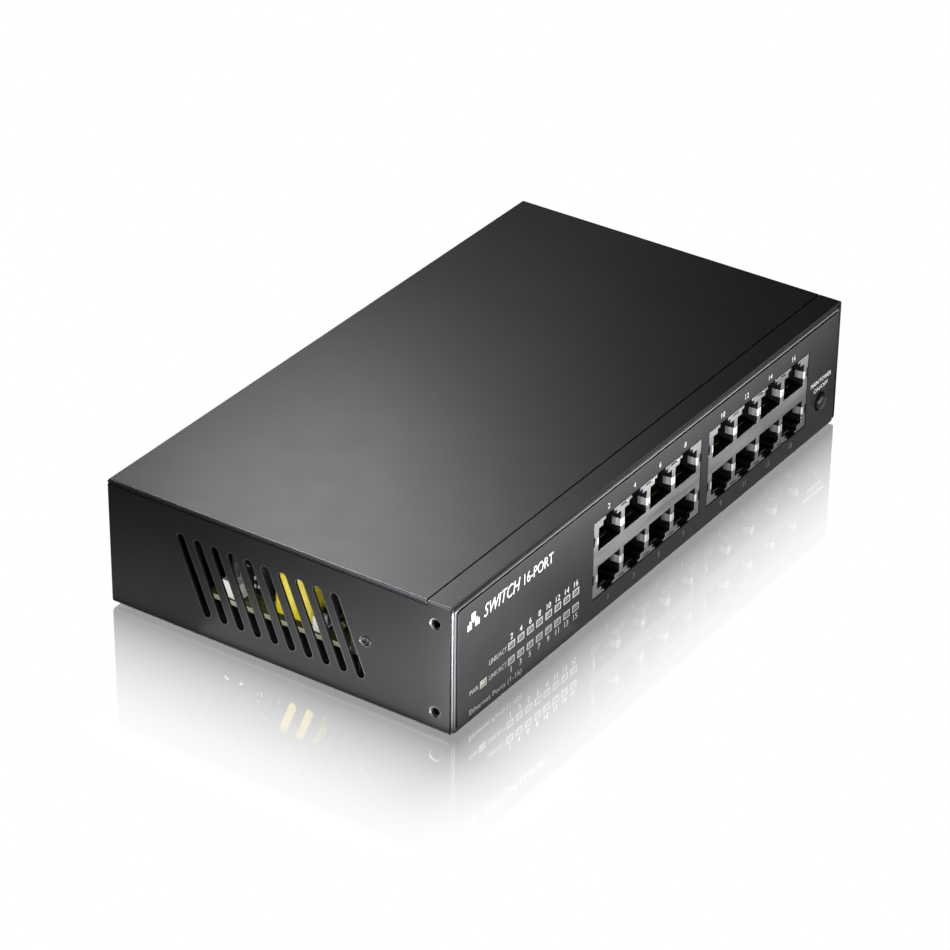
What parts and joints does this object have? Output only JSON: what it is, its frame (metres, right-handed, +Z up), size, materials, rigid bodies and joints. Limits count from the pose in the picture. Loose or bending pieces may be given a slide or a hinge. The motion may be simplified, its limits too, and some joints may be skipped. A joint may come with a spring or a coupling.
{
  "type": "desktop network switch",
  "caption": "Flat steel-cased desktop network switch with two banks of stacked jacks, status lamps, a push power button, side vents and a rear mains inlet.",
  "frame": {"origin": "middle of the overall box in plan, on the desk under the rubber feet", "axes": "+X right along the front face, +Y from the jack face to the mains inlet, +Z up"},
  "size_m": [0.2152, 0.1238, 0.0432],
  "materials": {
    "painted_case": "satin black powder coat",
    "overlay_film": "satin printed film",
    "shield_steel": "tin-plated steel",
    "screw_zinc": "black zinc-plated",
    "black_plastic": "moulded",
    "white_plastic": "moulded",
    "clear_plastic": "clear light guide",
    "foot_rubber": "matt",
    "green_board": "solder mask",
    "tan_board": "bare laminate",
    "ferrite": "sintered",
    "yellow_tape": "polyester tape",
    "aluminium_sink": "plain",
    "fuse_glass": "clear",
    "copper_winding": "enamelled copper",
    "grey_wire": "insulated wire",
    "green_wire": "insulated wire",
    "insulation": "fibre sheet"
  },
  "bodies": {
    "case": {"chassis_shell": "painted_case", "front_panel": "painted_case", "front_overlay": "overlay_film", "rear_panel": "painted_case", "top_cover": "painted_case", "side_cover_screw_left": "screw_zinc", "side_cover_screw_right": "screw_zinc", "rear_cover_screw_left": "screw_zinc", "rear_cover_screw_right": "screw_zinc", "foot_front_left": "foot_rubber", "foot_front_right": "foot_rubber", "foot_rear_left": "foot_rubber", "foot_rear_right": "foot_rubber", "jack_shield_left": "shield_steel", "jack_shield_right": "shield_steel", "jack_housing_left": "black_plastic", "jack_housing_right": "black_plastic", "contact_insert_1_2": "black_plastic", "contact_insert_3_4": "black_plastic", "contact_insert_5_6": "black_plastic", "contact_insert_7_8": "black_plastic", "contact_insert_9_10": "black_plastic", "contact_insert_11_12": "black_plastic", "contact_insert_13_14": "black_plastic", "contact_insert_15_16": "black_plastic", "status_light_guide": "clear_plastic", "power_light_guide": "clear_plastic", "power_switch_body": "black_plastic", "main_board": "green_board", "switch_chip": "black_plastic", "chip_heatsink": "aluminium_sink", "clock_crystal": "shield_steel", "board_capacitor": "black_plastic", "board_screw_1": "screw_zinc", "board_screw_2": "screw_zinc", "board_screw_3": "screw_zinc", "board_screw_4": "screw_zinc", "psu_board": "tan_board", "transformer_core": "ferrite", "transformer_winding": "yellow_tape", "transformer_bobbin": "white_plastic", "bulk_capacitor": "black_plastic", "output_capacitor": "black_plastic", "emi_choke": "copper_winding", "x_capacitor": "yellow_tape", "mains_fuse": "fuse_glass", "psu_heatsink": "aluminium_sink", "mains_connector": "white_plastic", "dc_connector": "white_plastic", "insulation_sheet": "insulation", "power_inlet": "black_plastic", "inlet_pin_line": "shield_steel", "inlet_pin_neutral": "shield_steel", "inlet_pin_earth": "shield_steel", "line_wire": "grey_wire", "neutral_wire": "grey_wire", "earth_wire": "green_wire"},
    "power_button": {"power_button_cap": "black_plastic", "switch_plunger": "white_plastic"}
  },
  "joints": [
    {"name": "power_button_press", "type": "slide", "parent": "case", "child": "power_button", "axis": [0, 1, 0], "range_m": [-0.0012, 0.0008], "stiffness_N_per_m": 400}
  ]
}
